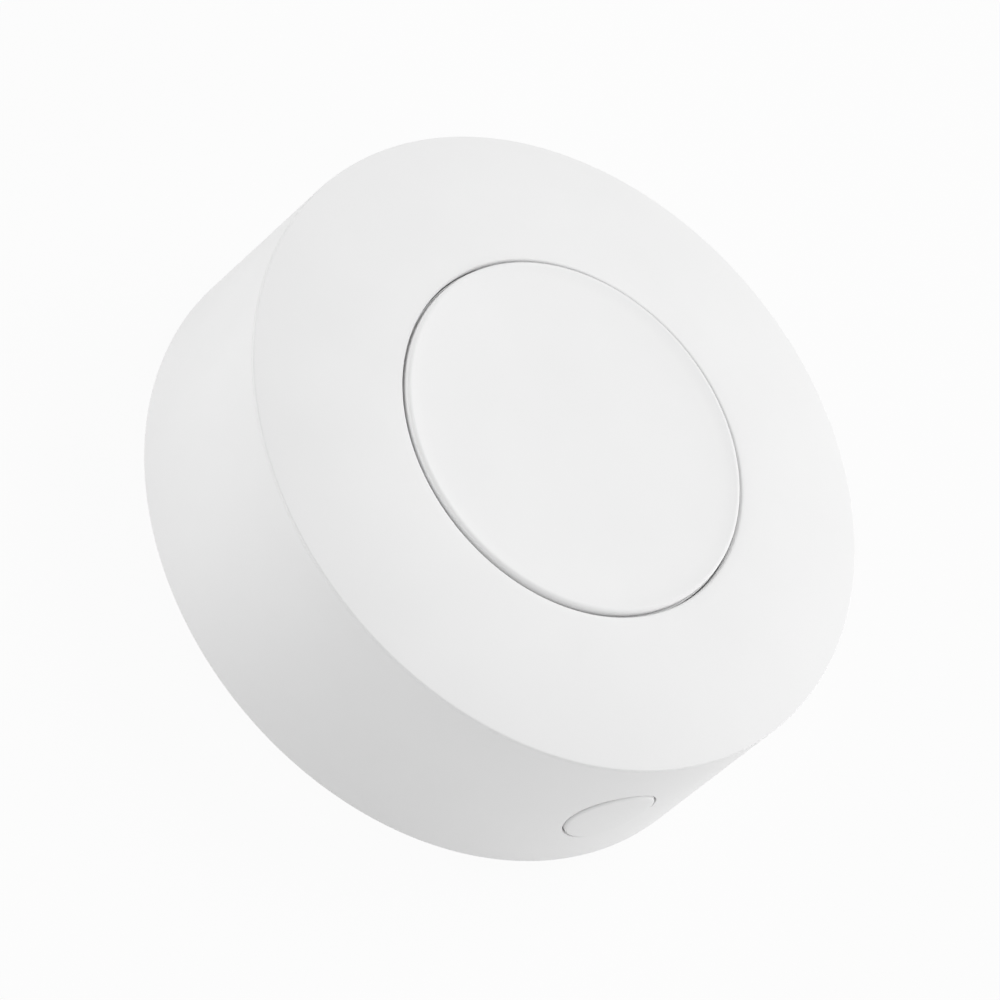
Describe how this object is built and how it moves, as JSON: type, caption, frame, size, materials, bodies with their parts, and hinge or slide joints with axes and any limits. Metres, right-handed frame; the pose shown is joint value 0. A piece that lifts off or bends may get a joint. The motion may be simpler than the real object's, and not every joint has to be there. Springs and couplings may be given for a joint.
{
  "type": "smart button",
  "caption": "Round white wireless push button: domed puck with a large dished button, a small side key and a coin cell, on a stick-on back cover.",
  "frame": {"origin": "centre of the adhesive face on the back, where the part lies on a wall or table", "axes": "+Z along the button's axis, out of its front; -Y towards the side key; +X completes the frame"},
  "size_m": [0.04, 0.04, 0.0148],
  "materials": {
    "casing_plastic": "fine moulded grain, white",
    "base_plastic": "fine moulded grain, off-white",
    "pad_foam": "closed-cell foam tape, grey",
    "damper_foam": "soft microcell foam, black",
    "board_laminate": "glass-fibre laminate under green solder mask",
    "package_black": "black moulding compound",
    "ceramic_tan": "fired ceramic, tan",
    "capacitor_yellow": "moulded epoxy, yellow",
    "led_resin": "clear pale resin",
    "gilded_copper": "gold-plated copper",
    "steel": "bright rolled steel",
    "spring_bronze": "phosphor bronze strip",
    "cell_steel": "nickel-plated steel",
    "cell_stack": "pressed powder and foil",
    "stem_plastic": "black moulded nylon",
    "cradle_plastic": "natural moulded nylon"
  },
  "bodies": {
    "base": {"back_cover": "base_plastic", "adhesive_pad": "pad_foam"},
    "body": {"front_cover": "casing_plastic", "body_shell": "casing_plastic", "button_damper": "damper_foam", "circuit_board": "board_laminate", "radio_chip": "package_black", "crystal": "steel", "antenna_trace": "gilded_copper", "status_led": "led_resin", "chip_capacitors": "ceramic_tan", "chip_resistors": "package_black", "reservoir_capacitor": "capacitor_yellow", "test_pads": "gilded_copper", "main_switch_base": "package_black", "main_switch_cover": "steel", "main_switch_dome": "steel", "main_switch_legs": "steel", "side_switch_base": "package_black", "side_switch_cover": "steel", "side_switch_legs": "steel", "battery_cradle": "cradle_plastic", "cell_can": "cell_steel", "cell_core": "cell_stack", "cell_gasket": "stem_plastic", "cell_lid": "cell_steel", "positive_contact": "spring_bronze", "negative_contact": "spring_bronze", "assembly_screws": "steel"},
    "button": {"button_cap": "casing_plastic"},
    "main_stem": {"main_switch_stem": "stem_plastic"},
    "side_button": {"side_key": "casing_plastic"},
    "side_stem": {"side_switch_stem": "stem_plastic"}
  },
  "joints": [
    {"name": "body_lift", "type": "slide", "parent": "base", "child": "body", "axis": [0, 0, 1], "range_m": [0, 0.02]},
    {"name": "button_press", "type": "slide", "parent": "body", "child": "button", "axis": [0, 0, -1], "range_m": [0, 0.00035], "stiffness_N_per_m": 2000, "deforming": ["main_switch_dome"]},
    {"name": "main_stem_press", "type": "slide", "parent": "body", "child": "main_stem", "axis": [0, 0, -1], "range_m": [0, 0.00035]},
    {"name": "key_press", "type": "slide", "parent": "body", "child": "side_button", "axis": [0, 1, 0], "range_m": [0, 0.0003], "stiffness_N_per_m": 1500},
    {"name": "side_stem_press", "type": "slide", "parent": "body", "child": "side_stem", "axis": [0, 1, 0], "range_m": [0, 0.0003]}
  ],
  "couplings": [
    {"joint": "main_stem_press", "follows": "button_press", "ratio": 1},
    {"joint": "side_stem_press", "follows": "key_press", "ratio": 1}
  ]
}
